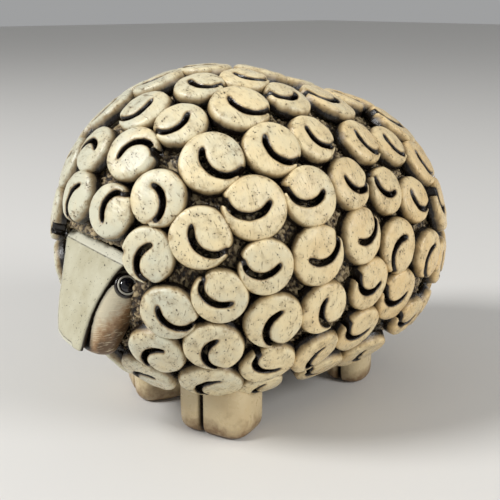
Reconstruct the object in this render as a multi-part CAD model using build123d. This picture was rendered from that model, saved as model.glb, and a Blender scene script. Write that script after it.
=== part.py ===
from build123d import *
import os
from math import acos, asin, atan2, cos, degrees, radians, sin, tan

# Driving sizes in millimetres
CHEST_RADIUS = 38.6    # round front of the body, over the curl tops
RUMP_RADIUS = 36.0     # round tail end, over the curl tops
BODY_SPAN = 27.0       # middle of the round front back to the middle of the round tail end
BODY_LIFT = 41.5       # floor to the middle of the round front
CURL_HEIGHT = 3.0      # how far a curl stands proud of the body
CURL_ROOT = 1.5        # extra length that a curl is cut from, inside the body
CURL_REACH = 6.7       # largest radius that a curl is cut to
CURL_GAP = 0.2         # least gap between neighbouring curls
HEAD_ROOM = 1.6        # clearance of the body and curls round the head
CURL_SEARCH = 26.0     # curls this near to a leg's middle are cut out of the leg

HEAD_FORWARD = 33.1    # middle of the round front forward to the brow
HEAD_RISE = 2.6        # and up to the brow
FACE_LENGTH = 21.8     # face plate from brow to muzzle
BROW_HALF_WIDTH = 12.9
MUZZLE_HALF_WIDTH = 4.3
PLATE_THICKNESS = 1.2
PLATE_CORNER = 1.8
MUZZLE_CORNER = 2.8
BROW_BEVEL = 1.4       # slanting strip along the top of the plate
GROOVE_WIDTH = 1.0     # cut between the face plate and each cheek
GROOVE_DEPTH = 3.6     # how far the cut reaches in from the plate's side
HEAD_POCKET = 11.5     # front of the plate back to the seat cut in the body
HEAD_DEPTH = 20.0      # length of the block that the head is cut from
HEAD_SPACE = 60.0      # reaches past the whole head

CHEEK_TOP_RADIUS = 5.4
CHEEK_LOW_RADIUS = 4.3
CHEEK_TOP_DROP = 7.0   # brow down to the middle of the cheek's wide end
CHEEK_LOW_DROP = 18.2
CHEEK_SPREAD = 0.7     # how far the cheek's side stands out past the plate's
CHEEK_BACK = 5.4       # front of the plate back to the cheek's middle

EYE_RING_RADIUS = 2.3
EYE_BEAD_RADIUS = 1.5
EYE_SEAT = 0.9         # depth of the socket in the cheek
EYE_PROUD = 0.25       # how far the ring stands out of the cheek
EYE_DOME_RADIUS = 2.0
EYE_DOME_TOP = 0.85
EYE_DROP = 5.2         # brow down to the eye's middle

FRONT_FOOT_WIDTH = 17.5
FRONT_FOOT_DEPTH = 13.0
FRONT_FOOT_SIDE = 12.9
FRONT_FOOT_BACK = -10.1
HIND_FOOT_WIDTH = 11.0
HIND_FOOT_DEPTH = 10.5
HIND_FOOT_SIDE = 12.9
HIND_FOOT_BACK = 31.6
FOOT_CORNER = 4.0
FOOT_EDGE = 1.2        # rounding where a side meets the sole
CLEFT_WIDTH = 0.8
CLEFT_DEPTH = 2.2

# Angles in degrees
BODY_PITCH = 9.2       # the tail end lies lower than the chest
FACE_LEAN = 22.2       # the muzzle stands forward of the brow
EYE_TURN = 66.0        # the eye looks this far to the side
CURL_FLARE = 9.0       # a curl widens outward
BEVEL_TURN = 45.0
FRONT_SPLAY = 21.0
HIND_SPLAY = 24.0

# Shares
rump_spread_share = 0.77    # evens out the places of the curls towards the tail
cleft_share = 0.1           # of the foot's width, from its middle to the inner side

block_end_share = 0.03      # of the face's length, left free above and below the head block

# A curl's slot, as shares of the curl's radius
slot_offset_share = 0.50
slot_bend_share = 0.75
slot_width_share = 0.18

# Along the slot, from its inner end to past the rim: angle round the bend, share of the width
slot_shares = [(-42, 0), (-33, 0.75), (-5, 1.0), (30, 1.0), (70, 0.85), (125, 0.6)]

curl_sides = 12
core_sides = 20
core_rings = 10
cheek_sides = 16
cheek_rings = 10
bead_sides = 20

# Curls: angle along the back (0 at the face, 180 at the tail), angle down the left side (0 at the top),
# size share, direction of the slot's mouth (0 to the tail, 90 down the left side), and hand of the slot
crown_shares = [
    (61, -9, 1.0, 262, -1), (63.5, 14, 1.0, 45, 1), (65.5, -32, 1.0, 200, -1), (77, -2, 1.0, 220, -1),
    (79, 17, 1.0, 30, 1), (68.4, 32, 1.0, 35, 1), (88, 30, 1.0, 190, -1), (91.5, 5, 1.0, 20, 1),
    (98.7, 25, 1.0, 190, -1), (100, 1, 1.0, 20, 1), (80.5, -23, 1.0, 30, -1), (94, -15, 1.0, 210, 1),
    (91, -33, 1.0, 130, 1), (102.5, -27, 1.0, 20, -1), (109, 15, 1.0, 25, 1), (109.5, -9, 1.0, 200, 1),
    (113.5, -28, 1.0, 340, -1), (119, 8, 1.0, 20, 1), (121, 29, 1.0, 200, -1), (122, -12, 1.0, 30, 1),
]
brow_shares = [
    (12.3, -22, 1.0, 200, 1), (17, 54, 1.0, 347, -1), (28, -13, 1.0, 262, 1), (32, 25, 1.05, 50, -1),
    (33.5, 59.5, 1.05, 118, -1), (29.5, 92, 1.0, 82, 1), (33, -52, 1.0, 250, 1), (27, -86, 1.0, 210, 1),
    (45, 6.5, 1.1, 220, -1), (49, -26, 1.05, 220, -1), (49, 28.5, 1.05, 193, -1),
]
left_shoulder_shares = [
    (52, 51, 1.1, 41, 1), (45.3, 80.7, 1.1, 25, 1), (41, 119, 1.0, 350, 1), (53.5, 103, 1.1, 215, -1),
    (62, 70.3, 1.1, 195, -1), (71.4, 51, 1.1, 40, 1),
]
left_flank_shares = [
    (65.6, 90, 1.1, 190, -1), (80.5, 67.5, 1.1, 193, -1), (88, 47.8, 1.0, 20, 1), (83, 85.8, 1.1, 315, 1),
    (92.7, 63, 1.0, 355, 1), (94.5, 80, 1.05, 308, 1), (99.5, 46, 1.05, 25, 1), (98, 97, 1.0, 202, -1),
    (89.6, 103.3, 1.05, 41, 1), (72.5, 108.5, 1.1, 66, 1),
]
left_haunch_shares = [
    (102.3, 64.5, 1.0, 214, -1), (105.5, 84, 1.05, 108, 1), (108.5, 103, 1.0, 199, -1), (112.5, 67, 1.0, 15, 1),
    (109.5, 45, 1.0, 30, 1), (119, 88, 1.0, 100, 1), (100, 116, 1.0, 205, -1),
    (119, 116, 1.05, 200, -1), (121.5, 50, 1.0, 30, 1), (130, 67, 1.0, 200, -1), (131.5, 93, 1.0, 40, 1),
]
left_skirt_shares = [
    (58.3, 125, 1.05, 50, 1), (46, 144, 1.05, 63, 1), (68, 145, 1.0, 60, 1), (79, 127, 1.05, 216, -1),
    (92, 123.5, 1.0, 58, 1), (86, 142, 0.9, 40, 1), (99, 139, 0.9, 200, -1), (110, 134, 1.0, 30, 1),
    (55, 166, 0.95, 60, 1),
]
rump_shares = [
    (180, 0, 1.0, 20, 1),
    (165, 25, 1.0, 200, 1), (165, 85, 1.0, 30, -1), (165, 145, 1.0, 120, 1),
    (165, -95, 1.0, 190, -1), (165, -35, 1.0, 320, 1), (165, -155, 1.0, 80, -1),
    (148, 0, 1.0, 200, 1), (147, 31, 1.0, 20, -1), (147, 62, 1.0, 200, -1), (147, 92, 1.0, 340, 1),
    (147, 122, 1.0, 60, 1), (147, -31, 1.0, 150, -1), (147, -62, 1.0, 20, 1),
    (147, -92, 1.0, 210, -1), (147, -122, 1.0, 10, 1), (147, 153, 1.0, 100, -1), (147, -153, 1.0, 240, 1),
    (131, 118, 1.0, 200, -1), (131, -118, 1.0, 30, 1), (133, 13, 1.0, 20, 1), (134, 40, 1.0, 20, 1),
    (134, -13, 1.0, 90, 1), (131.5, -40, 1.0, 200, -1),
]

# Body core: two round ends joined by a cone that meets both smoothly, pitched tail down
front_radius = CHEST_RADIUS - CURL_HEIGHT
rear_radius = RUMP_RADIUS - CURL_HEIGHT


def outline(along, near_radius, far_radius, span, spread):
    """Point on two round ends joined by a cone, and its outward direction, for an angle along it."""
    slope = asin((near_radius - far_radius) / span)
    share = -cos(radians(along))
    back = near_radius * share
    if share > 0:
        back = (span + far_radius) * share ** spread
    if back < near_radius * sin(slope):
        rise = (near_radius ** 2 - back ** 2) ** 0.5
        return (back, rise), (back / near_radius, rise / near_radius)
    if back > span + far_radius * sin(slope):
        behind = min(back - span, far_radius)
        rise = (far_radius ** 2 - behind ** 2) ** 0.5
        return (back, rise), (behind / far_radius, rise / far_radius)
    rise = (near_radius - back * sin(slope)) / cos(slope)
    return (back, rise), (sin(slope), cos(slope))


def on_body(along):
    """Point on the core's outline and its outward direction."""
    return outline(along, front_radius, rear_radius, BODY_SPAN, rump_spread_share)


def pitched(shape):
    """Turn a shape from the level body axis to the pitched one."""
    return Rot(-BODY_PITCH, 0, 0) * shape


def faceted(faces):
    """Solid from the corners of its flat faces."""
    return Solid(Shell([make_face(Polyline(*corners, close=True)) for corners in faces]))


def pod(near_radius, far_radius, span, spread, sides, rings):
    """Egg of flat facets along y, with its corners on the round outline."""
    loops = []
    for ring in range(1, rings):
        (back, rise), _ = outline(180 * ring / rings, near_radius, far_radius, span, spread)
        turns = [radians(360 * side / sides) for side in range(sides)]
        loops.append([(rise * sin(turn), back, rise * cos(turn)) for turn in turns])
    near_end = (0, -near_radius, 0)
    far_end = (0, span + far_radius, 0)
    faces = []
    for side in range(sides):
        after = (side + 1) % sides
        faces.append([near_end, loops[0][after], loops[0][side]])
        faces.append([far_end, loops[-1][side], loops[-1][after]])
        for near, far in zip(loops, loops[1:]):
            faces.append([near[side], near[after], far[after], far[side]])
    return faceted(faces)


# Head: its own frame, x to the sheep's left, y up the face, z out of the face
out_of_face = (0, -cos(radians(FACE_LEAN)), sin(radians(FACE_LEAN)))
face = Location(Plane((0, -HEAD_FORWARD, HEAD_RISE), x_dir=(1, 0, 0), z_dir=out_of_face))
narrowing = (BROW_HALF_WIDTH - MUZZLE_HALF_WIDTH) / FACE_LENGTH


def half_width(drop):
    """Half the plate's width at a distance below the brow."""
    return BROW_HALF_WIDTH - narrowing * drop


def wedge(sides, ends, front, back, corners=()):
    """Tapered block with the face's outline, grown at its sides and ends, between two depths."""
    top = half_width(-ends) + sides
    low = half_width(FACE_LENGTH + ends) + sides
    points = [(-top, ends), (top, ends), (low, -FACE_LENGTH - ends), (-low, -FACE_LENGTH - ends)]
    shape = make_face(Polyline(*points, close=True))
    for radius, place in zip(corners, (slice(2, None), slice(0, 2))):
        shape = fillet(shape.vertices().sort_by(Axis.Y)[place], radius)
    return face * Pos(0, 0, -back) * extrude(shape, back - front)


def face_plate():
    """Flat plate with a slanting strip along its brow."""
    waste = Box(2 * BROW_HALF_WIDTH, 2 * BROW_BEVEL, 2 * BROW_BEVEL)
    strip = Pos(0, BROW_BEVEL / 2, BROW_BEVEL / 2) * Rot(BEVEL_TURN, 0, 0) * waste
    return wedge(0, 0, 0, PLATE_THICKNESS, (PLATE_CORNER, MUZZLE_CORNER)) - face * strip


def cheek_middle(side, drop, radius):
    """Middle of a cheek's round end, in the face's frame."""
    return Vector(side * (half_width(drop) + CHEEK_SPREAD - radius), -drop, -CHEEK_BACK)


def cheek_blank(side):
    """Tapered pod behind one side of the plate."""
    start = cheek_middle(side, CHEEK_TOP_DROP, CHEEK_TOP_RADIUS)
    reach = cheek_middle(side, CHEEK_LOW_DROP, CHEEK_LOW_RADIUS) - start
    shape = pod(CHEEK_TOP_RADIUS, CHEEK_LOW_RADIUS, reach.length, 1, cheek_sides, cheek_rings)
    seat = Plane(start, x_dir=(0, 0, 1), z_dir=reach.cross(Vector(0, 0, 1)) * -1)
    return face * Location(seat) * shape


def eye_plane(side):
    """Plane on the cheek under the eye, z out along the eye's line of sight."""
    turn = radians(EYE_TURN)
    top = cheek_middle(side, CHEEK_TOP_DROP, CHEEK_TOP_RADIUS)
    lift = (CHEEK_TOP_DROP - EYE_DROP) / CHEEK_TOP_RADIUS
    level = (1 - lift ** 2) ** 0.5
    look = Vector(side * sin(turn) * level, lift, cos(turn) * level)
    return Plane(top + look * CHEEK_TOP_RADIUS, z_dir=look)


def eye_parts(side):
    """Socket to cut, ring and bead of one eye."""
    seat = face * Location(eye_plane(side))
    floor = seat * Pos(0, 0, -EYE_SEAT)
    deep = EYE_SEAT + EYE_PROUD
    rim = RegularPolygon(EYE_RING_RADIUS, bead_sides)
    hole = RegularPolygon(EYE_BEAD_RADIUS, bead_sides)
    socket = floor * extrude(rim, deep + EYE_RING_RADIUS)
    ring = floor * extrude(rim - hole, deep)
    dome = seat * Pos(0, 0, EYE_DOME_TOP - EYE_DOME_RADIUS) * Sphere(EYE_DOME_RADIUS)
    bead = dome & floor * extrude(hole, deep + EYE_DOME_RADIUS)
    return socket, ring, bead


def cheek(side, core, block, socket):
    """Pod cut free of the plate by the groove and seated on the head block."""
    cut = wedge(GROOVE_WIDTH, GROOVE_WIDTH, -HEAD_DEPTH, PLATE_THICKNESS + GROOVE_WIDTH)
    far_half = face * Pos(-side * HEAD_DEPTH / 2, 0, 0) * Box(HEAD_DEPTH, HEAD_SPACE, HEAD_SPACE)
    return cheek_blank(side) - cut - far_half - block - core - socket


def foot(side, width, depth, out, back, splay, core, covers):
    """Foot block from the floor up to the core and the curls, with a cleft in its front."""
    height = BODY_LIFT
    block = extrude(RectangleRounded(width, depth, FOOT_CORNER), height)
    block = chamfer(block.faces().sort_by(Axis.Z)[0].edges(), FOOT_EDGE)
    cleft = Pos(-side * cleft_share * width, -depth / 2, height / 2) * Box(CLEFT_WIDTH, 2 * CLEFT_DEPTH, 2 * height)
    block = Pos(side * out, back, -BODY_LIFT) * Rot(0, 0, side * splay) * (block - cleft)
    middle = block.center()
    block = block - core - [cover for cover in covers if (cover.center() - middle).length < CURL_SEARCH]
    return block.solids().sort_by(SortBy.VOLUME)[-1]


def seat_plane(along, down):
    """Plane on the body at a curl's centre: x to the tail, z outward."""
    (back, rise), (out_back, out_rise) = on_body(along)
    around = radians(down)
    centre = Vector(rise * sin(around), back, rise * cos(around))
    outward = Vector(out_rise * sin(around), out_back, out_rise * cos(around))
    to_tail = Vector(-out_back * sin(around), out_rise, -out_back * cos(around))
    return Plane(centre, x_dir=to_tail, z_dir=outward)


def curl_top(along, down):
    plane = seat_plane(along, down)
    return plane.origin + plane.z_dir * CURL_HEIGHT


def curl_radii(rows):
    """Largest radius for each curl that leaves the gap to all its neighbours."""
    tops = [curl_top(along, down) for along, down, *_ in rows]
    shares = [row[2] for row in rows]
    spans = [[(top - place).length - CURL_GAP for place in tops] for top in tops]
    radii = []
    for index, share in enumerate(shares):
        reach = CURL_REACH * share
        for other, weight in enumerate(shares):
            if other != index:
                reach = min(reach, spans[index][other] * share / (share + weight))
        radii.append(reach)
    for index, share in enumerate(shares):
        free = [spans[index][other] - radii[other] for other in range(len(rows)) if other != index]
        radii[index] = max(radii[index], min(CURL_REACH * share, *free))
    return radii


def slot_blank(radius, mouth, hand):
    """Curved slot that starts inside the curl and opens at its rim."""
    half = slot_width_share * radius / 2

    def on_slot(angle, offset):
        reach = slot_bend_share * radius + offset
        turned = radians(angle)
        return slot_offset_share * radius - reach * cos(turned), hand * reach * sin(turned)

    far = [on_slot(angle, half * share) for angle, share in slot_shares]
    near = [on_slot(angle, -half * share) for angle, share in reversed(slot_shares[1:])]
    depth = CURL_HEIGHT + CURL_ROOT
    prism = extrude(make_face(Polyline(*far, *near, close=True)), depth + CURL_ROOT)
    return Rot(0, 0, mouth - hand * mouth_turn) * Pos(0, 0, -CURL_ROOT - CURL_GAP) * prism


def disc(along, down, radius):
    """Flaring disc on the body, from inside the core out to the curl's top."""
    foot_radius = radius - (CURL_HEIGHT + CURL_ROOT) * tan(radians(CURL_FLARE))
    turns = [radians(360 * side / curl_sides) for side in range(curl_sides)]
    low = [(foot_radius * cos(turn), foot_radius * sin(turn), -CURL_ROOT) for turn in turns]
    high = [(radius * cos(turn), radius * sin(turn), CURL_HEIGHT) for turn in turns]
    after = [*range(1, curl_sides), 0]
    walls = [[low[side], low[step], high[step], high[side]] for side, step in enumerate(after)]
    return pitched(Location(seat_plane(along, down)) * faceted([low, high, *walls]))


def curl(along, down, radius, mouth, hand, cover, rooms):
    """Disc with its slot, cut off where it meets the body."""
    slot = pitched(Location(seat_plane(along, down)) * slot_blank(radius, -mouth, -hand))
    shape = cover - slot - rooms
    return shape.solids().sort_by(SortBy.VOLUME)[-1]


def mirrored(rows, turn):
    """The same rows on the other side, with their slots turned."""
    return [(along, -down, size, turn - mouth, -hand) for along, down, size, mouth, hand in rows]


groups = {
    "crown_curls": crown_shares,
    "brow_curls": brow_shares,
    "left_shoulder_curls": left_shoulder_shares,
    "left_flank_curls": left_flank_shares,
    "left_haunch_curls": left_haunch_shares,
    "left_skirt_curls": left_skirt_shares,
    "rump_curls": rump_shares,
    "right_shoulder_curls": mirrored(left_shoulder_shares, 20),
    "right_flank_curls": mirrored(left_flank_shares, 200),
    "right_haunch_curls": mirrored(left_haunch_shares, 40),
    "right_skirt_curls": mirrored(left_skirt_shares, 30),
}

# Where a slot crosses the rim, as an angle from the middle of its curl
slot_end = acos((slot_offset_share ** 2 + slot_bend_share ** 2 - 1) / (2 * slot_offset_share * slot_bend_share))
mouth_turn = degrees(atan2(slot_bend_share * sin(slot_end), slot_offset_share - slot_bend_share * cos(slot_end)))

# Pieces
parts = {}
head_room = wedge(HEAD_ROOM, HEAD_ROOM, -HEAD_DEPTH, HEAD_POCKET)
core = pitched(pod(front_radius, rear_radius, BODY_SPAN, rump_spread_share, core_sides, core_rings)) - head_room
block_end = -block_end_share * FACE_LENGTH
head_block = wedge(-GROOVE_DEPTH, block_end, PLATE_THICKNESS, HEAD_DEPTH) - core
parts["fleece_body"] = core
parts["head_block"] = head_block
parts["face_plate"] = face_plate()

rows = [row for table in groups.values() for row in table]
radii = curl_radii(rows)
covers = [disc(along, down, radius) for (along, down, *_), radius in zip(rows, radii)]
blanks = iter(zip(radii, covers))
for name, table in groups.items():
    curls = []
    for along, down, _, mouth, hand in table:
        radius, cover = next(blanks)
        curls.append(curl(along, down, radius, mouth, hand, cover, [core, head_room]))
    parts[name] = Compound(curls)

front_foot = (FRONT_FOOT_WIDTH, FRONT_FOOT_DEPTH, FRONT_FOOT_SIDE, FRONT_FOOT_BACK, FRONT_SPLAY)
hind_foot = (HIND_FOOT_WIDTH, HIND_FOOT_DEPTH, HIND_FOOT_SIDE, HIND_FOOT_BACK, HIND_SPLAY)
for name, side in (("left", 1), ("right", -1)):
    socket, ring, bead = eye_parts(side)
    parts[name + "_eye_ring"] = ring
    parts[name + "_eye_bead"] = bead
    parts[name + "_cheek"] = cheek(side, core, head_block, socket)
    parts[name + "_front_foot"] = foot(side, *front_foot, core, covers)
    parts[name + "_hind_foot"] = foot(side, *hind_foot, core, covers)

# Set on the floor with the origin under the middle
whole = Compound(list(parts.values())).bounding_box()
stand = Pos(0, -whole.center().Y, BODY_LIFT)
os.makedirs("parts", exist_ok=True)
for name, shape in parts.items():
    export_step(stand * shape, f"parts/{name}.step")
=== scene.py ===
import bmesh
import bpy
from math import cos, pi, radians, sin, tan
from mathutils import Matrix, Vector, geometry, noise


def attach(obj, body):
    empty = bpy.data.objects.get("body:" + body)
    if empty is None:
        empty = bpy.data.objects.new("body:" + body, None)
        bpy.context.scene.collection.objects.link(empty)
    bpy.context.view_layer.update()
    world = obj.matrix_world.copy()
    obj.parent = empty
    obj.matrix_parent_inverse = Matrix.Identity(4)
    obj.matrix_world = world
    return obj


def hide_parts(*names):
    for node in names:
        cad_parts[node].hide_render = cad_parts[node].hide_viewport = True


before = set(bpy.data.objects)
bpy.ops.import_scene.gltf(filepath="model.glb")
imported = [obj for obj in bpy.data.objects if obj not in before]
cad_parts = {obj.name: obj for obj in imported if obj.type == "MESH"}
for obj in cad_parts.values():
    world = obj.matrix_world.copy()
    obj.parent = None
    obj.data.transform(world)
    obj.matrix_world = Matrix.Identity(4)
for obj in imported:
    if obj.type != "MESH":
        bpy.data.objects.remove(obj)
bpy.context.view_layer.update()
mm = 0.001

# Ground between the curls: the clay egg of the body, scratched all over so
# that the curls key into it, then flooded with a dark oxide stain that pools
# in the scratches and is wiped off the ridges.
ground_skin = 0.6 * mm
ground_rubs = 6
ground_relief = 0.75 * mm
ground_sink = 0.3 * mm
stroke_length = 3.4 * mm
stroke_width = 0.75 * mm
stroke_drift = 9 * mm       # the scratches turn their way over about this distance
stroke_share = 0.95
crumb_size = 0.85 * mm
crumb_share = 0.22
weld_gap = 0.002 * mm


def colour(code):
    """Linear colour and full alpha from an sRGB hex code."""
    parts = [int(code[place:place + 2], 16) / 255 for place in (1, 3, 5)]
    return [part / 12.92 if part <= 0.04045 else ((part + 0.055) / 1.055) ** 2.4 for part in parts] + [1]


def add(material, kind, inputs=None, **settings):
    """One node with its settings, its values and its links."""
    made = material.node_tree.nodes.new(kind)
    for name, value in settings.items():
        setattr(made, name, value)
    for name, value in (inputs or {}).items():
        if isinstance(value, bpy.types.NodeSocket):
            material.node_tree.links.new(value, made.inputs[name])
        else:
            made.inputs[name].default_value = value
    return made


def new_material(name):
    """Material with no nodes yet."""
    material = bpy.data.materials.new(name)
    material.use_nodes = True
    material.node_tree.nodes.clear()
    return material


def show(material, shader):
    """Send a shader to the material's surface."""
    add(material, "ShaderNodeOutputMaterial", {"Surface": shader.outputs[0]})


def set_down(name, data):
    """New object of a mesh, a lamp or a camera, put into the scene."""
    piece = bpy.data.objects.new(name, data)
    bpy.context.scene.collection.objects.link(piece)
    return piece


def welded_shell(mesh):
    """Editable copy of a CAD node's mesh with its loose triangles joined up."""
    shell = bmesh.new()
    shell.from_mesh(mesh)
    bmesh.ops.remove_doubles(shell, verts=shell.verts, dist=weld_gap)
    return shell


def welded_copy(node, name):
    """New piece with the joined-up shape of a CAD node."""
    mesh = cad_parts[node].data.copy()
    mesh.materials.clear()
    piece = set_down(name, mesh)
    shell = welded_shell(mesh)
    shell.to_mesh(mesh)
    shell.free()
    return piece


def settle(piece):
    """Turn a piece's modifiers into plain mesh."""
    ready = piece.evaluated_get(bpy.context.evaluated_depsgraph_get())
    mesh = bpy.data.meshes.new_from_object(ready)
    piece.modifiers.clear()
    piece.data = mesh


def soften(piece, skin, rounds):
    """Give a piece an even skin of small faces and rub its edges round."""
    fresh = piece.modifiers.new("skin", "REMESH")
    fresh.mode = "VOXEL"
    fresh.voxel_size = skin
    rub = piece.modifiers.new("rub", "SMOOTH")
    rub.factor = 0.5
    rub.iterations = rounds
    settle(piece)


def dress(piece, material, slot, *nodes):
    """Smooth, clad and hand over a finished piece."""
    piece.data.materials.clear()
    piece.data.materials.append(material)
    piece.data.shade_smooth()
    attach(piece, "root")
    if nodes:
        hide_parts(*nodes)


ground = welded_copy("fleece_body", "ground")
soften(ground, ground_skin, ground_rubs)
moves = []
for vertex in ground.data.vertices:
    place = vertex.co
    wave = noise.noise(place / stroke_drift) * pi
    along = Vector((place.x * cos(wave) + place.z * sin(wave), place.y,
                    place.z * cos(wave) - place.x * sin(wave)))
    stroke = noise.noise(Vector((along.x / stroke_length, along.y / stroke_width, along.z / stroke_width)))
    crumb = noise.noise(place / crumb_size)
    height = stroke_share * stroke + crumb_share * crumb
    moves.append((place + vertex.normal * (ground_relief * height - ground_sink), 0.5 + height))
ridge_marks = ground.data.attributes.new("ridge", "FLOAT", "POINT")
for vertex, mark, (place, height) in zip(ground.data.vertices, ridge_marks.data, moves):
    vertex.co = place
    mark.value = height

stained = new_material("scratched clay under oxide stain")
# The stain is a thin glassy film: near black where it pools, wiped back to tan clay on the ridges
at = add(stained, "ShaderNodeTexCoord").outputs["Object"]
ridge = add(stained, "ShaderNodeAttribute", attribute_name="ridge").outputs["Fac"]
strokes = add(stained, "ShaderNodeMapping", {
    "Vector": at, "Scale": (1, 4.5, 1.8), "Rotation": (0.4, 0.3, 0.2)})
scratch = add(stained, "ShaderNodeTexNoise", {
    "Vector": strokes.outputs[0], "Scale": 1 / (1.5 * mm), "Detail": 6, "Roughness": 0.65})
worn = add(stained, "ShaderNodeMath", {
    0: scratch.outputs["Fac"], 1: 1.3, 2: ridge}, operation="MULTIPLY_ADD")
wash = add(stained, "ShaderNodeValToRGB", {"Fac": worn.outputs[0]})
wash.color_ramp.elements[0].color = colour("#0e0a08")
wash.color_ramp.elements[1].position = 0.55
wash.color_ramp.elements[1].color = colour("#1d1611")
half_worn = add(stained, "ShaderNodeMapRange", {"Value": worn.outputs[0], "From Min": 0.8, "From Max": 1.16})
# A colour Mix node's sockets go by number: 0 is the share, 6 and 7 are its two colours, output 2 their mix
browned = add(stained, "ShaderNodeMix", {
    0: half_worn.outputs[0], 6: wash.outputs[0], 7: colour("#58462f")}, data_type="RGBA")
bare = add(stained, "ShaderNodeMapRange", {
    "Value": worn.outputs[0], "From Min": 1.08, "From Max": 1.52})
wiped = add(stained, "ShaderNodeMix", {
    0: bare.outputs[0], 6: browned.outputs[2], 7: colour("#c2ad84")}, data_type="RGBA")
gloss = add(stained, "ShaderNodeMapRange", {
    "Value": worn.outputs[0], "From Min": 0.7, "From Max": 1.5, "To Min": 0.1, "To Max": 0.34})
relief = add(stained, "ShaderNodeBump", {
    "Height": scratch.outputs["Fac"], "Strength": 1.0, "Distance": 0.6 * mm})
show(stained, add(stained, "ShaderNodeBsdfPrincipled", {
    "Base Color": wiped.outputs[2], "Roughness": gloss.outputs[0], "Normal": relief.outputs[0], "IOR": 1.52,
    "Specular IOR Level": 0.6}))
dress(ground, stained, "dark_ground", "fleece_body")

# Curls: discs cut from a slab of pale clay, each with a curved slot knifed in
# from its rim, pressed on by hand. A brown oxide wash was wiped back off
# their faces and stays on the walls, in the slots and in the pits; on the walls
# and in the slots painted shade deepens it, darkest near the ground and down in the slots.
curl_edge = 0.6 * mm
edge_tries = (1, 0.6, 0.3, 0.1, 0.02)     # shares of the edge, until the outline no longer crosses itself
curl_wall = 3.6 * mm
curl_skin = 0.38 * mm
curl_rubs = 3
curl_flare = radians(12)    # the walls spread towards the body
slot_wear = 0.01 * mm
slot_start = 0.35 * mm      # a wall further in from the rim than this is a slot's
slot_shade = 5.5            # the wash and the painted shade lie this much thicker in a slot than on an outer wall
curl_dome = 0.6 * mm
curl_wobble = 0.16 * mm
wobble_length = 3 * mm
curl_dents = 0.16 * mm
dent_length = 2.2 * mm
dent_shift = 900            # per metre of a curl's own place, so that no two curls have the same dents
curl_tilt = radians(3.2)
tilt_step = 1.7             # along the noise from one curl to the next, so that each leans its own way
tilt_row = (3.1, 0.4)
curl_flat = radians(1.5)    # CAD faces that meet at less than this are one flat
rim_share = cos(pi / 12)    # a smooth line through a twelve-sided outline runs this far in
facing_up = 0.9
filled_area = 1.5           # a filled curl's flat faces have more than this many times its squared reach
sunny_side = Vector((0.643, 0.766, 0)) / (45 * mm)     # warmer towards the tail and the left: partly the glaze burnt warmer, partly painted warm lamp light from that side
mean_warmth = 0.45
side_warmth_and_light = 0.45
own_warmth = 0.16
noise.seed_set(1)           # else the wobble and the tilt of the curls change from run to run


def curl_faces(node):
    """Top face of each curl in a node, as its corner points and its outward direction."""
    shell = welded_shell(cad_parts[node].data)
    bmesh.ops.dissolve_limit(shell, verts=shell.verts, edges=shell.edges, angle_limit=curl_flat)
    unseen = set(shell.faces)
    faces = []
    for first in shell.faces:     # in the mesh's own order, because a set's order changes from run to run
        if first not in unseen:
            continue
        unseen.remove(first)
        island = [first]
        for face in island:
            for edge in face.edges:
                for near in edge.link_faces:
                    if near in unseen:
                        unseen.remove(near)
                        island.append(near)
        top = max(island, key=lambda face: face.calc_area())
        faces.append(([corner.co.copy() for corner in top.verts], top.normal.copy()))
    shell.free()
    return faces


def cut_slab(name, outline, thick, edge, grow=0.0):
    """Slab with a smooth outline through flat points, middle of its thickness at height zero."""
    line = bpy.data.curves.new(name, "CURVE")
    line.dimensions = "2D"
    line.fill_mode = "BOTH"
    line.extrude = thick / 2 - edge
    line.bevel_depth = edge
    line.bevel_resolution = 2
    line.offset = grow - edge
    line.resolution_u = 4
    spline = line.splines.new("NURBS")
    spline.points.add(len(outline) - 1)
    for point, (x, y) in zip(spline.points, outline):
        point.co = (x, y, 0, 1)
    spline.order_u = 3
    spline.use_cyclic_u = True
    blank = bpy.data.objects.new(name, line)
    mesh = bpy.data.meshes.new_from_object(blank)
    bpy.data.objects.remove(blank)
    bpy.data.curves.remove(line)
    return set_down(name, mesh)


def is_filled(slab, reach):
    """Whether a slab got its flat faces; an outline that crosses itself once shrunk stays a bare wall."""
    flat_area = sum(face.area for face in slab.data.polygons if face.normal.z > facing_up)
    return flat_area > filled_area * reach * reach


def hull_sides(points):
    """Sides of an outline's convex hull: flat direction outward and distance from the middle."""
    hull = [Vector(points[place]) for place in geometry.convex_hull_2d(points)]
    sides = []
    for start, end in zip(hull, hull[1:] + hull[:1]):
        run = (end - start).normalized()
        sides.append((run.y, -run.x, run.y * start.x - run.x * start.y))
    return sides


def ramp(value, start, span):
    """Zero up to the start, then rising to one over the span."""
    return min(1, max(0, (value - start) / span))


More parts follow.
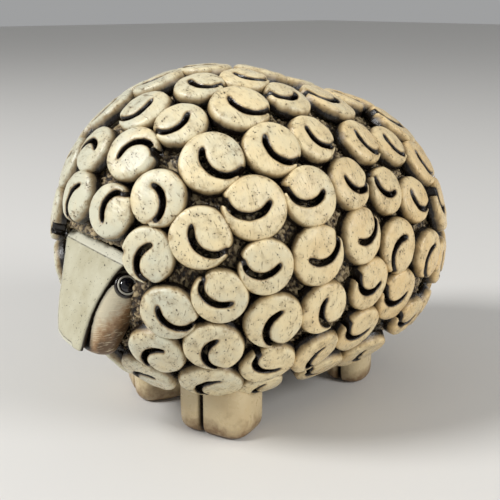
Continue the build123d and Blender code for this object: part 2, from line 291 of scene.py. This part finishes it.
def press_curl(outline, outward, shell, seed):
    """Cut one curl to its smoothed outline, rub its edges, dome its top and set it in place."""
    centre = sum(outline, Vector()) / len(outline)
    reach = max((corner - centre).length for corner in outline)
    turn = outward.to_track_quat("Z", "Y").to_matrix().to_4x4()
    flat = turn.inverted()
    spread = (1 + slot_wear / reach) / rim_share
    points = []
    for corner in outline:
        place = flat @ (corner - centre)
        shake = noise.noise_vector(corner / wobble_length) * curl_wobble
        points.append((place.x * spread + shake.x, place.y * spread + shake.y))
    sides = hull_sides(points)
    for share in edge_tries:
        blank = cut_slab("curl", points, curl_wall, share * curl_edge, -share * slot_wear)
        if is_filled(blank, reach):
            break
        bpy.data.objects.remove(blank)
    soften(blank, curl_skin, curl_rubs)
    mesh = blank.data
    before = len(shell.verts)
    shell.from_mesh(mesh)
    shell.verts.ensure_lookup_table()
    lean = noise.noise_vector(Vector((seed * tilt_step, *tilt_row)))
    tilt = Matrix.Rotation(lean.x * curl_tilt, 4, "X") @ Matrix.Rotation(lean.y * curl_tilt, 4, "Y")
    depth = shell.verts.layers.float["depth"]
    tone = shell.verts.layers.float["tone"]
    # The side term is partly painted light, the warm tint of lamp light on that side; the rest is the glaze's
    # own tone
    warmth = mean_warmth + side_warmth_and_light * centre.dot(sunny_side) + own_warmth * lean.z
    for vertex in shell.verts[before:]:
        x, y, z = vertex.co
        down = curl_wall / 2 - z
        upper = 1 - down / curl_wall
        wide = 1 + tan(curl_flare) * down / reach
        sink = curl_dome * (x * x + y * y) / (reach * reach) * upper
        dent = curl_dents * noise.noise(centre * dent_shift + vertex.co / dent_length) * upper
        rim_gap = min(abs(away - across * x - along * y) for across, along, away in sides)
        inside = ramp(rim_gap, slot_start, slot_start)
        # depth carries the oxide wash and painted shade: darker down the walls towards the ground, and faster
        # in the slots
        vertex[depth] = down / curl_wall * (1 + slot_shade * inside)
        vertex[tone] = warmth
        vertex.co = centre + turn @ (tilt @ Vector((x * wide, y * wide, dent - down - sink)))
    bpy.data.objects.remove(blank)
    bpy.data.meshes.remove(mesh)


clay = new_material("satin glazed stoneware wiped with brown oxide")
# A thin satin glaze lets the sanded clay show: cool and warm patches, dark specks, pits and fine scratches; the
# warmth towards the tail and the left is partly painted lamp light
at = add(clay, "ShaderNodeTexCoord").outputs["Object"]
depth = add(clay, "ShaderNodeAttribute", attribute_name="depth").outputs["Fac"]
tone = add(clay, "ShaderNodeAttribute", attribute_name="tone").outputs["Fac"]
patch = add(clay, "ShaderNodeTexNoise", {
    "Vector": at, "Scale": 1 / (6 * mm), "Detail": 4, "Roughness": 0.55})
warmth = add(clay, "ShaderNodeMath", {
    0: patch.outputs["Fac"], 1: 0.9, 2: tone}, operation="MULTIPLY_ADD")
half_warm = add(clay, "ShaderNodeMath", {0: warmth.outputs[0], 1: 0.5}, operation="MULTIPLY")
cream = add(clay, "ShaderNodeValToRGB", {"Fac": half_warm.outputs[0]})
cream.color_ramp.elements[0].position = 0.28
cream.color_ramp.elements[0].color = colour("#d3d0b8")
cream.color_ramp.elements[1].position = 0.72
cream.color_ramp.elements[1].color = colour("#e4c48c")
middle = cream.color_ramp.elements.new(0.48)
middle.color = colour("#ead8ac")
cloud = add(clay, "ShaderNodeTexNoise", {
    "Vector": at, "Scale": 1 / (2.2 * mm), "Detail": 7, "Roughness": 0.68})
smear = add(clay, "ShaderNodeMapRange", {
    "Value": cloud.outputs["Fac"], "From Min": 0.48, "From Max": 0.7, "To Max": 0.6})
smeared = add(clay, "ShaderNodeMix", {
    0: smear.outputs[0], 6: cream.outputs[0], 7: colour("#98835c")}, data_type="RGBA")
grit = add(clay, "ShaderNodeTexNoise", {
    "Vector": at, "Scale": 1 / (0.42 * mm), "Detail": 2, "Roughness": 0.5})
gritty = add(clay, "ShaderNodeMath", {
    0: cloud.outputs["Fac"], 1: 0.6, 2: grit.outputs["Fac"]}, operation="MULTIPLY_ADD")
pitted = add(clay, "ShaderNodeMapRange", {
    "Value": gritty.outputs[0], "From Min": 0.98, "From Max": 1.02})
dotted = add(clay, "ShaderNodeMix", {
    0: pitted.outputs[0], 6: smeared.outputs[2], 7: colour("#3a2e20")}, data_type="RGBA")
hairs = add(clay, "ShaderNodeMapping", {"Vector": at, "Scale": (1, 9, 2), "Rotation": (0.2, 0.5, 0.9)})
brush = add(clay, "ShaderNodeTexNoise", {
    "Vector": hairs.outputs[0], "Scale": 1 / (3.2 * mm), "Detail": 4, "Roughness": 0.6})
hair = add(clay, "ShaderNodeMapRange", {
    "Value": brush.outputs["Fac"], "From Min": 0.6, "From Max": 0.67, "To Max": 0.6})
haired = add(clay, "ShaderNodeMix", {
    0: hair.outputs[0], 6: dotted.outputs[2], 7: colour("#6d5a40")}, data_type="RGBA")
# Tan, then near black down the walls and in the slots: oxide wash together with painted shade
ragged = add(clay, "ShaderNodeMath", {
    0: cloud.outputs["Fac"], 1: 0.5, 2: depth}, operation="MULTIPLY_ADD")
tan_edge = add(clay, "ShaderNodeMapRange", {
    "Value": ragged.outputs[0], "From Min": 0.33, "From Max": 0.55, "To Max": 0.8})
edged = add(clay, "ShaderNodeMix", {
    0: tan_edge.outputs[0], 6: haired.outputs[2], 7: colour("#9c8156")}, data_type="RGBA")
oxide = add(clay, "ShaderNodeMapRange", {
    "Value": ragged.outputs[0], "From Min": 0.53, "From Max": 0.82})
walls = add(clay, "ShaderNodeMix", {
    0: oxide.outputs[0], 6: edged.outputs[2], 7: colour("#150e09")}, data_type="RGBA")
gloss = add(clay, "ShaderNodeMapRange", {
    "Value": cloud.outputs["Fac"], "From Min": 0.3, "From Max": 0.7, "To Min": 0.18, "To Max": 0.36})
rough = add(clay, "ShaderNodeMath", {
    0: brush.outputs["Fac"], 1: 0.6, 2: cloud.outputs["Fac"]}, operation="MULTIPLY_ADD")
rough_pits = add(clay, "ShaderNodeMath", {
    0: rough.outputs[0], 1: pitted.outputs[0]}, operation="SUBTRACT")
relief = add(clay, "ShaderNodeBump", {
    "Height": rough_pits.outputs[0], "Strength": 0.8, "Distance": 0.26 * mm})
show(clay, add(clay, "ShaderNodeBsdfPrincipled", {
    "Base Color": walls.outputs[2], "Roughness": gloss.outputs[0], "Normal": relief.outputs[0], "IOR": 1.5}))

for node in sorted(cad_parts):
    if not node.endswith("_curls"):
        continue
    shell = bmesh.new()
    shell.verts.layers.float.new("depth")
    shell.verts.layers.float.new("tone")
    for seed, (outline, outward) in enumerate(curl_faces(node)):
        press_curl(outline, outward, shell, seed + len(node))
    mesh = bpy.data.meshes.new(node + "_cut")
    shell.to_mesh(mesh)
    shell.free()
    curls = set_down(node + "_cut", mesh)
    dress(curls, clay, "curl_glaze", node)

# Face: a thin tapered slab of slip-cast clay on a block of the dark body clay.
# A strip along its brow is bent back, a knife hollowed its left side, and a
# line was drawn round the rim. Small black pits show where the slip held air.
face_lean = radians(22.2)
brow_place = Vector((0, -43.97, 44.1)) * mm
block_skin = 0.4 * mm
block_rubs = 3
face_thick = 1.3 * mm
face_edge = 0.28 * mm
face_skin = 0.22 * mm
face_rubs = 2
face_bow = 0.35 * mm        # the sides of the face lie this far behind its middle
brow_half = 12.9 * mm
strip_middle = -1.0 * mm    # height of the strip's lower edge at the middle of the brow
strip_slope = -0.05
strip_bend = 0.5            # the strip falls back by this share of its height
rim_inset = 0.85 * mm
rim_slope = 0.45            # so does the rim outside the drawn line
line_depth = 0.13 * mm
line_width = 0.3 * mm
front_share = 0.6           # the lines are drawn in this upper part of the thickness
line_stain = 0.75
wall_stain_and_shade = 2.2            # stain and painted shade, rising from the front to the back of the slab's walls
wall_clean = 0.3            # this much of the wall's stain and painted shade is taken off again
# The slab's outline in millimetres from the middle of the brow: down its left side, then round the rest
groove_side = [(12.8, 0.5), (12.7, 0.1), (9.7, -2.6), (8.1, -5.4), (6.5, -9.0), (5.3, -12.7), (4.9, -16.5),
               (5.0, -21.0), (5.2, -21.6)]
rim_side = [(1.5, -21.5), (-2.2, -21.2), (-5.2, -20.2), (-7.2, -17.2), (-9.0, -13.2), (-10.3, -8.8),
            (-11.7, -4.6), (-13.4, -0.2), (-13.0, 1.6), (-11.2, 1.9)]
face_frame = Matrix.Translation(brow_place) @ Matrix.Rotation(pi / 2 - face_lean, 4, "X")
groove_line = [Vector((x, y)) * mm for x, y in groove_side]
rim_line = [Vector((x, y)) * mm for x, y in rim_side]
face_outline = [tuple(point) for point in groove_line + rim_line]


def line_gap(place, line):
    """Distance from a flat place to the nearest stretch of a line of points."""
    gaps = []
    for start, end in zip(line, line[1:]):
        near, share = geometry.intersect_point_line(place, start, end)
        near = start.lerp(end, min(max(share, 0), 1))
        gaps.append((place - near).length)
    return min(gaps)


def dip(gap, width):
    """One in the middle of a drawn line, falling to nothing at its sides."""
    return max(0, 1 - abs(gap) / width)


face_clay = new_material("slip-cast stoneware with pinholes")
# Cast clay under satin glaze is even in colour: only pinholes, the drawn lines
# and the walls, darkened by stain and painted shade, break it
at = add(face_clay, "ShaderNodeTexCoord").outputs["Object"]
stain = add(face_clay, "ShaderNodeAttribute", attribute_name="stain").outputs["Fac"]
strip = add(face_clay, "ShaderNodeAttribute", attribute_name="strip").outputs["Fac"]
patch = add(face_clay, "ShaderNodeTexNoise", {
    "Vector": at, "Scale": 1 / (5 * mm), "Detail": 6, "Roughness": 0.6})
cream = add(face_clay, "ShaderNodeValToRGB", {"Fac": patch.outputs["Fac"]})
cream.color_ramp.elements[0].position = 0.32
cream.color_ramp.elements[0].color = colour("#c6c2aa")
cream.color_ramp.elements[1].position = 0.68
cream.color_ramp.elements[1].color = colour("#b0a98c")
pale = add(face_clay, "ShaderNodeMix", {
    0: strip, 6: cream.outputs[0], 7: colour("#cfccb8")}, data_type="RGBA")
grit = add(face_clay, "ShaderNodeTexNoise", {"Vector": at, "Scale": 1 / (0.4 * mm), "Detail": 1})
few = add(face_clay, "ShaderNodeMath", {
    0: patch.outputs["Fac"], 1: 0.2, 2: grit.outputs["Fac"]}, operation="MULTIPLY_ADD")
pitted = add(face_clay, "ShaderNodeMapRange", {
    "Value": few.outputs[0], "From Min": 0.8, "From Max": 0.84})
dotted = add(face_clay, "ShaderNodeMix", {
    0: pitted.outputs[0], 6: pale.outputs[2], 7: colour("#2b261c")}, data_type="RGBA")
hairs = add(face_clay, "ShaderNodeMapping", {
    "Vector": at, "Scale": (6, 1, 1.5), "Rotation": (0.3, 0.1, 0.2)})
brush = add(face_clay, "ShaderNodeTexNoise", {
    "Vector": hairs.outputs[0], "Scale": 1 / (2.4 * mm), "Detail": 4})
wiped = add(face_clay, "ShaderNodeMath", {
    0: brush.outputs["Fac"], 1: 0.5, 2: stain}, operation="MULTIPLY_ADD")
staining = add(face_clay, "ShaderNodeMapRange", {
    "Value": wiped.outputs[0], "From Min": 0.5, "From Max": 1.0})
walls = add(face_clay, "ShaderNodeMix", {
    0: staining.outputs[0], 6: dotted.outputs[2], 7: colour("#2a1f14")}, data_type="RGBA")
dips = add(face_clay, "ShaderNodeMath", {
    0: brush.outputs["Fac"], 1: pitted.outputs[0]}, operation="SUBTRACT")
relief = add(face_clay, "ShaderNodeBump", {
    "Height": dips.outputs[0], "Strength": 0.4, "Distance": 0.15 * mm})
show(face_clay, add(face_clay, "ShaderNodeBsdfPrincipled", {
    "Base Color": walls.outputs[2], "Roughness": 0.4, "Normal": relief.outputs[0], "IOR": 1.5}))

block = welded_copy("head_block", "neck_block")
soften(block, block_skin, block_rubs)
dress(block, stained, "dark_ground", "head_block")

plate = cut_slab("face", face_outline, face_thick, face_edge)
soften(plate, face_skin, face_rubs)
stain_and_shade_marks = plate.data.attributes.new("stain", "FLOAT", "POINT")
strip_marks = plate.data.attributes.new("strip", "FLOAT", "POINT")
moves = []
for vertex in plate.data.vertices:
    x, y, z = vertex.co
    z -= face_thick / 2
    front = 1 + z / face_thick
    flat = Vector((x, y))
    above = y - strip_middle - strip_slope * x
    rim_gap = line_gap(flat, rim_line)
    drawn = max(dip(above, line_width), dip(rim_gap - rim_inset, line_width)) * (front > front_share)
    walls = 1 - front if above < 0 or rim_gap > line_width else 0
    z -= face_bow * (x / brow_half) ** 2 + line_depth * drawn + strip_bend * max(above, 0)
    z -= rim_slope * max(rim_inset - rim_gap, 0) * front
    # dark: the drawn lines' stain, and the walls darkening towards the back with stain and painted shade
    dark = max(line_stain * drawn, wall_stain_and_shade * walls - wall_clean)
    edge = float(above > 0 or rim_gap < rim_inset)
    moves.append((face_frame @ Vector((x, y, z)), dark, edge))
for vertex, mark, pale, move in zip(plate.data.vertices, stain_and_shade_marks.data, strip_marks.data, moves):
    vertex.co, mark.value, pale.value = move
dress(plate, face_clay, "face_glaze", "face_plate")

# Cheeks: two tapered pods of the same clay beside and behind the slab, with
# the knife-cut groove between, its walls near black with painted shade. Iron stain was rubbed into them low at
# the back.
top_side = 5.44 * mm
top_up = -7.0 * mm          # along the face's slope from the middle of the brow, so this lies below it
top_radius = 5.4 * mm
low_side = 2.8 * mm
low_up = -18.0 * mm
low_radius = 4.8 * mm
cheek_back = 5.3 * mm
cheek_end = 2.4 * mm        # rounding of the blunt lower end
end_past = 0.6 * mm         # the side runs on this far past the lower place
end_tip = 0.8 * mm          # and the tip, with the rounding, this far
quarter_steps = 12          # of the cheek's profile, to a quarter turn
lathe_steps = 48
cheek_skin = 0.2 * mm
cheek_rubs = 3
groove_width = 0.75 * mm
groove_depth = 1.9 * mm
cutter_edge = 0.05 * mm
wall_reach = 1.9            # the painted shade of the groove ends this many groove widths from the slab's outline
wall_floor = 3.2            # and this many millimetres behind its front
rust_share = 0.75
rust_low = (8 * mm, 11 * mm)        # the iron stain starts this far down the face and deepens over this much
rust_back = (1.2 * mm, 5 * mm)      # and likewise behind the face


def lathe(name, profile, seat, closed):
    """Spin a profile of radius and height round an axis."""
    shell = bmesh.new()
    points = [shell.verts.new((radius, 0, rise)) for radius, rise in profile]
    edges = [shell.edges.new(pair) for pair in zip(points, points[1:])]
    if closed:
        edges.append(shell.edges.new((points[-1], points[0])))
    bmesh.ops.spin(shell, geom=points + edges, angle=2 * pi, steps=lathe_steps, axis=(0, 0, 1), cent=(0, 0, 0),
                   use_merge=True)
    bmesh.ops.remove_doubles(shell, verts=shell.verts, dist=weld_gap)
    bmesh.ops.recalc_face_normals(shell, faces=shell.faces)
    bmesh.ops.transform(shell, matrix=seat, verts=shell.verts)
    mesh = bpy.data.meshes.new(name)
    shell.to_mesh(mesh)
    shell.free()
    return set_down(name, mesh)


cheek_clay = new_material("stoneware rubbed with iron stain")
# Iron stain sinks into scratches and turns orange where it is thin; painted shade blackens the walls of the
# groove
at = add(cheek_clay, "ShaderNodeTexCoord").outputs["Object"]
wall = add(cheek_clay, "ShaderNodeAttribute", attribute_name="stain").outputs["Fac"]
rust = add(cheek_clay, "ShaderNodeAttribute", attribute_name="rust").outputs["Fac"]
cloud = add(cheek_clay, "ShaderNodeTexNoise", {
    "Vector": at, "Scale": 1 / (1.8 * mm), "Detail": 7, "Roughness": 0.68})
rubbed = add(cheek_clay, "ShaderNodeMath", {
    0: cloud.outputs["Fac"], 1: 1.2, 2: rust}, operation="MULTIPLY_ADD")
rusty = add(cheek_clay, "ShaderNodeMapRange", {
    "Value": rubbed.outputs[0], "From Min": 0.95, "From Max": 1.5, "To Max": 0.85})
cheeky = add(cheek_clay, "ShaderNodeMix", {
    0: rusty.outputs[0], 6: colour("#d3c9ae"), 7: colour("#a97b4a")}, data_type="RGBA")
# Darker brown where the rust is heaviest, low at the back of the cheek: deep rust and painted shade where it
# tucks in behind the face
back_rust_and_shade = add(cheek_clay, "ShaderNodeMapRange", {
    "Value": rubbed.outputs[0], "From Min": 1.35, "From Max": 1.8, "To Max": 0.8})
back_rust_and_shaded = add(cheek_clay, "ShaderNodeMix", {
    0: back_rust_and_shade.outputs[0], 6: cheeky.outputs[2], 7: colour("#3a2818")}, data_type="RGBA")
strokes = add(cheek_clay, "ShaderNodeMapping", {
    "Vector": at, "Scale": (1, 1, 9), "Rotation": (0.9, 0.2, 0)})
hair = add(cheek_clay, "ShaderNodeTexNoise", {
    "Vector": strokes.outputs[0], "Scale": 1 / (2.2 * mm), "Detail": 5})
streak = add(cheek_clay, "ShaderNodeMapRange", {
    "Value": hair.outputs["Fac"], "From Min": 0.56, "From Max": 0.66, "To Max": 0.6})
streaked = add(cheek_clay, "ShaderNodeMix", {
    0: streak.outputs[0], 6: back_rust_and_shaded.outputs[2], 7: colour("#e6d9b8")}, data_type="RGBA")
# Painted shade: the groove's walls near black
groove_shaded = add(cheek_clay, "ShaderNodeMix", {
    0: wall, 6: streaked.outputs[2], 7: colour("#120c08")}, data_type="RGBA")
relief = add(cheek_clay, "ShaderNodeBump", {
    "Height": hair.outputs["Fac"], "Strength": 0.45, "Distance": 0.2 * mm})
show(cheek_clay, add(cheek_clay, "ShaderNodeBsdfPrincipled", {
    "Base Color": groove_shaded.outputs[2], "Roughness": 0.36, "Normal": relief.outputs[0], "IOR": 1.5}))

for name, side in (("left", 1), ("right", -1)):
    top = Vector((side * top_side, top_up, -cheek_back))
    low = Vector((side * low_side, low_up, -cheek_back))
    span = (low - top).length
    turns = [pi / 2 * step / quarter_steps for step in range(2 * quarter_steps + 1)]
    profile = [(top_radius * sin(turn), -top_radius * cos(turn)) for turn in turns[:quarter_steps + 1]]
    blunt = low_radius - cheek_end
    for turn in turns[quarter_steps:]:
        profile.append((blunt + cheek_end * sin(turn), span + end_past - cheek_end * cos(turn)))
    profile.append((0, span + end_tip + cheek_end))
    seat = Matrix.Translation(top) @ (low - top).to_track_quat("Z", "Y").to_matrix().to_4x4()
    cheek = lathe(name + "_jaw", profile, seat, False)
    cutter = cut_slab("groove cutter", face_outline, 2 * groove_depth, cutter_edge, groove_width)
    carve = cheek.modifiers.new("groove", "BOOLEAN")
    carve.operation = "DIFFERENCE"
    carve.object = cutter
    settle(cheek)
    bpy.data.objects.remove(cutter)
    soften(cheek, cheek_skin, cheek_rubs)
    stain_and_shade_marks = cheek.data.attributes.new("stain", "FLOAT", "POINT")
    rust_marks = cheek.data.attributes.new("rust", "FLOAT", "POINT")
    places = []
    for vertex, mark, red in zip(cheek.data.vertices, stain_and_shade_marks.data, rust_marks.data):
        x, y, z = vertex.co
        gap = min(line_gap(Vector((x, y)), groove_line), line_gap(Vector((x, y)), rim_line))
        # stain here is painted shade on the groove's walls, near the slab's outline and its front
        mark.value = ramp(-gap / groove_width, -wall_reach, 1) * ramp(z / mm, -wall_floor, 1)
        red.value = rust_share * ramp(-y, *rust_low) + rust_share * ramp(-z, *rust_back)
        places.append(face_frame @ vertex.co)
    for vertex, place in zip(cheek.data.vertices, places):
        vertex.co = place
    dress(cheek, cheek_clay, "cheek_glaze", name + "_cheek")

# Eyes: a black glass bead pressed into a socket in each cheek, inside a black
# rim, with a thin pale ring round it: a painted highlight of the bead's edge.
bead_rise = 0.7 * mm
bead_share = 0.6            # of the ring's radius
bead_fit = 0.99             # of the hole's radius
ring_flat = radians(1)      # CAD faces that meet at less than this are one flat
ring_top_share = 0.97       # of the ring's radius, where its raised lip starts
ring_round = 0.18 * mm
ring_side_drop = 0.1 * mm
ring_lip = 0.02 * mm
wire_radius = 0.22 * mm
wire_share = 0.72           # where the pale line runs, of the ring's radius
wire_rise = 0.5             # of the line's own radius, above the ring's face

rim_glaze = new_material("black gloss glaze")
# Thick black glaze: wet gloss and no grain
at = add(rim_glaze, "ShaderNodeTexCoord").outputs["Object"]
speck = add(rim_glaze, "ShaderNodeTexNoise", {"Vector": at, "Scale": 1 / (0.6 * mm), "Detail": 3})
blacks = add(rim_glaze, "ShaderNodeMix", {
    0: speck.outputs["Fac"], 6: colour("#0c0a0a"), 7: colour("#2b2420")}, data_type="RGBA")
relief = add(rim_glaze, "ShaderNodeBump", {
    "Height": speck.outputs["Fac"], "Strength": 0.3, "Distance": 0.1 * mm})
show(rim_glaze, add(rim_glaze, "ShaderNodeBsdfPrincipled", {
    "Base Color": blacks.outputs[2], "Roughness": 0.22, "Normal": relief.outputs[0], "IOR": 1.5}))

highlight_ring_glaze = new_material("pale gloss painted highlight ring")
# A painted highlight of the bead's edge, as a pale glossy ring: its tone wavers along the line
at = add(highlight_ring_glaze, "ShaderNodeTexCoord").outputs["Object"]
speck = add(highlight_ring_glaze, "ShaderNodeTexNoise", {"Vector": at, "Scale": 1 / (0.5 * mm), "Detail": 2})
greys = add(highlight_ring_glaze, "ShaderNodeMix", {
    0: speck.outputs["Fac"], 6: colour("#8d8a80"), 7: colour("#d2cdbd")}, data_type="RGBA")
show(highlight_ring_glaze, add(highlight_ring_glaze, "ShaderNodeBsdfPrincipled", {
    "Base Color": greys.outputs[2], "Roughness": 0.25, "IOR": 1.5}))

bead_glass = new_material("polished black glass")
# Glass this dark shows nothing but its reflections
at = add(bead_glass, "ShaderNodeTexCoord").outputs["Object"]
haze = add(bead_glass, "ShaderNodeTexNoise", {"Vector": at, "Scale": 1 / (1.5 * mm), "Detail": 2})
inks = add(bead_glass, "ShaderNodeMix", {
    0: haze.outputs["Fac"], 6: colour("#06060a"), 7: colour("#14141c")}, data_type="RGBA")
show(bead_glass, add(bead_glass, "ShaderNodeBsdfPrincipled", {
    "Base Color": inks.outputs[2], "Roughness": 0.06, "IOR": 1.52, "Coat Weight": 0.6, "Coat Roughness": 0.03}))


def eye_seat(node, side):
    """Seat, radius and thickness of an eye ring, read from its flat outer face."""
    shell = welded_shell(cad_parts[node].data)
    bmesh.ops.dissolve_limit(shell, verts=shell.verts, edges=shell.edges, angle_limit=ring_flat)
    flats = sorted(shell.faces, key=lambda face: -sum(edge.calc_length() for edge in face.edges))[:2]
    outer = max(flats, key=lambda face: face.normal.x * side)
    outward = outer.normal.copy()
    middle = sum((corner.co for corner in outer.verts), Vector()) / len(outer.verts)
    reach = max((corner.co - middle).length for corner in outer.verts)
    thick = max((outer.verts[0].co - corner.co).dot(outward) for corner in shell.verts)
    shell.free()
    return Matrix.Translation(middle) @ outward.to_track_quat("Z", "Y").to_matrix().to_4x4(), reach, thick


for name, side in (("left", 1), ("right", -1)):
    seat, reach, thick = eye_seat(name + "_eye_ring", side)
    bead_reach = reach * bead_share
    ring = [(bead_reach, -thick), (reach, -thick), (reach, -ring_side_drop)]
    for turn in (0, 0.8, pi / 2):
        ring.append((reach * ring_top_share - ring_round * (1 - cos(turn)), ring_round * sin(turn)))
    ring.append((bead_reach, ring_lip))
    rim = lathe(name + "_eye_rim", ring, seat, True)
    dress(rim, rim_glaze, "eye_rim", name + "_eye_ring")
    hoop = []
    for turn in [pi / 4 * step for step in range(8)]:
        hoop.append((reach * wire_share + wire_radius * cos(turn), wire_radius * (sin(turn) + wire_rise)))
    highlight_ring = lathe(name + "_eye_highlight_ring", hoop, seat, True)
    dress(highlight_ring, highlight_ring_glaze, "eye_rim")
    dome = [(0, -thick), (bead_reach * bead_fit, -thick)]
    for turn in [step / 5 for step in range(8)]:
        dome.append((bead_reach * bead_fit * cos(turn), bead_rise * sin(turn)))
    dome.append((0, bead_rise))
    bead = lathe(name + "_eye_bead_glass", dome, seat, False)
    dress(bead, bead_glass, "eye_glass", name + "_eye_bead")

# Feet: four blocks of pale clay with rounded corners and a knifed cleft,
# joined to the belly while soft, browned at the sole and in the cleft.
foot_skin = 0.4 * mm
foot_rubs = 70
sole_slice = 2 * mm         # what lies this near the ground is the sole
front_width = 17.5 * mm
front_splay = radians(21)
hind_width = 11 * mm
hind_splay = radians(24)
cleft_share = 0.1           # of the foot's width, from its middle to the inner side
cleft_half = 0.9 * mm
cleft_depth = 1.5 * mm
brown_height = 6 * mm

foot_clay = new_material("stoneware feet wiped with brown oxide")
# As the curls, and darker brown towards the ground
at = add(foot_clay, "ShaderNodeTexCoord").outputs["Object"]
height = add(foot_clay, "ShaderNodeSeparateXYZ", {"Vector": at})
sole = add(foot_clay, "ShaderNodeMapRange", {
    "Value": height.outputs["Z"], "From Min": 0, "From Max": brown_height, "To Min": 1, "To Max": 0})
cloud = add(foot_clay, "ShaderNodeTexNoise", {
    "Vector": at, "Scale": 1 / (3.2 * mm), "Detail": 6, "Roughness": 0.62})
patch = add(foot_clay, "ShaderNodeTexNoise", {"Vector": at, "Scale": 1 / (9 * mm), "Detail": 3})
cream = add(foot_clay, "ShaderNodeMix", {
    0: patch.outputs["Fac"], 6: colour("#d2c6a4"), 7: colour("#bfa272")}, data_type="RGBA")
low_cloud = add(foot_clay, "ShaderNodeMath", {
    0: sole.outputs[0], 1: 0.5, 2: cloud.outputs["Fac"]}, operation="MULTIPLY_ADD")
wash = add(foot_clay, "ShaderNodeMapRange", {
    "Value": low_cloud.outputs[0], "From Min": 0.58, "From Max": 0.95, "To Max": 0.85})
darkened_low = add(foot_clay, "ShaderNodeMix", {
    0: wash.outputs[0], 6: cream.outputs[2], 7: colour("#6b4c2c")}, data_type="RGBA")
slit = add(foot_clay, "ShaderNodeAttribute", attribute_name="cleft").outputs["Fac"]
cleft_darkening = add(foot_clay, "ShaderNodeMapRange", {"Value": slit, "From Min": 0.15, "From Max": 0.6})
slitted = add(foot_clay, "ShaderNodeMix", {
    0: cleft_darkening.outputs[0], 6: darkened_low.outputs[2], 7: colour("#1c120a")}, data_type="RGBA")
wet = add(foot_clay, "ShaderNodeMapRange", {
    "Value": cloud.outputs["Fac"], "From Min": 0.35, "From Max": 0.6, "To Min": 0.2, "To Max": 0.5})
relief = add(foot_clay, "ShaderNodeBump", {
    "Height": cloud.outputs["Fac"], "Strength": 0.5, "Distance": 0.3 * mm})
show(foot_clay, add(foot_clay, "ShaderNodeBsdfPrincipled", {
    "Base Color": slitted.outputs[2], "Roughness": wet.outputs[0], "Normal": relief.outputs[0], "IOR": 1.5}))

for node in ("left_front_foot", "right_front_foot", "left_hind_foot", "right_hind_foot"):
    side = 1 if node.startswith("left") else -1
    width, splay = (front_width, front_splay) if "front" in node else (hind_width, hind_splay)
    foot = welded_copy(node, node + "_clay")
    heights = [vertex.co.z for vertex in foot.data.vertices]
    old_low, old_high = min(heights), max(heights)
    flat_places = [vertex.co for vertex in foot.data.vertices if vertex.co.z < old_low + sole_slice]
    middle = Vector([(min(place[axis] for place in flat_places) + max(place[axis] for place in flat_places)) / 2
                     for axis in (0, 1)] + [0])
    across = Vector((cos(side * splay), sin(side * splay), 0))
    ahead = Vector((sin(side * splay), -cos(side * splay), 0))
    soften(foot, foot_skin, foot_rubs)
    heights = [vertex.co.z for vertex in foot.data.vertices]
    low, high = min(heights), max(heights)
    cleft_marks = foot.data.attributes.new("cleft", "FLOAT", "POINT")
    moves = []
    for vertex in foot.data.vertices:
        gap = (vertex.co - middle).dot(across) + side * cleft_share * width
        dent = cleft_depth * max(0, 1 - (gap / cleft_half) ** 2) ** 2 * max(0, vertex.normal.dot(ahead))
        moves.append((vertex.co - ahead * dent, dent / cleft_depth))
    for vertex, mark, (place, dark) in zip(foot.data.vertices, cleft_marks.data, moves):
        vertex.co = place
        vertex.co.z = old_low + (place.z - low) * (old_high - old_low) / (high - low)
        mark.value = dark
    dress(foot, foot_clay, "foot_glaze", node)

# Setting: a pale table top, a broad soft window light from the picture's left,
# a weaker one from its right, and the camera where the photograph was taken from.
camera_place = Vector((152.34, -129.65, 93.3)) * mm
camera_aim = (-0.7350, 0.6175, -0.2801)
table_half = 3
lamp_target = Vector((0, 0, 0.04))

floor_mesh = bpy.data.meshes.new("table")
shell = bmesh.new()
bmesh.ops.create_grid(shell, x_segments=1, y_segments=1, size=table_half)
shell.to_mesh(floor_mesh)
shell.free()
floor = set_down("table", floor_mesh)
table_top = new_material("pale matt table")
# Matt and even, so that it shows nothing but the shadow
show(table_top, add(table_top, "ShaderNodeBsdfPrincipled", {"Base Color": colour("#d8d6d2"), "Roughness": 0.7}))
floor.data.materials.append(table_top)

world = bpy.data.worlds.new("room")
bpy.context.scene.world = world
world.use_nodes = True
world.node_tree.nodes["Background"].inputs["Color"].default_value = colour("#d9dadb")
world.node_tree.nodes["Background"].inputs["Strength"].default_value = 0.5

for name, place, size, power in (
    ("window", (-0.3, -0.75, 0.75), 0.36, 10.0),
    ("side fill", (0.85, 0.3, 0.5), 0.45, 5.2),
):
    lamp = bpy.data.lights.new(name, "AREA")
    lamp.shape = "DISK"
    lamp.size = size
    lamp.energy = power
    light = set_down(name, lamp)
    light.location = place
    light.rotation_euler = (lamp_target - Vector(place)).to_track_quat("-Z", "Y").to_euler()

lens = bpy.data.cameras.new("camera")
lens.sensor_width = 36
lens.lens = 61.5
lens.clip_start = 0.01
camera = set_down("camera", lens)
camera.location = camera_place
camera.rotation_euler = Vector(camera_aim).to_track_quat("-Z", "Y").to_euler()
bpy.context.scene.camera = camera
bpy.context.scene.view_settings.view_transform = "Standard"
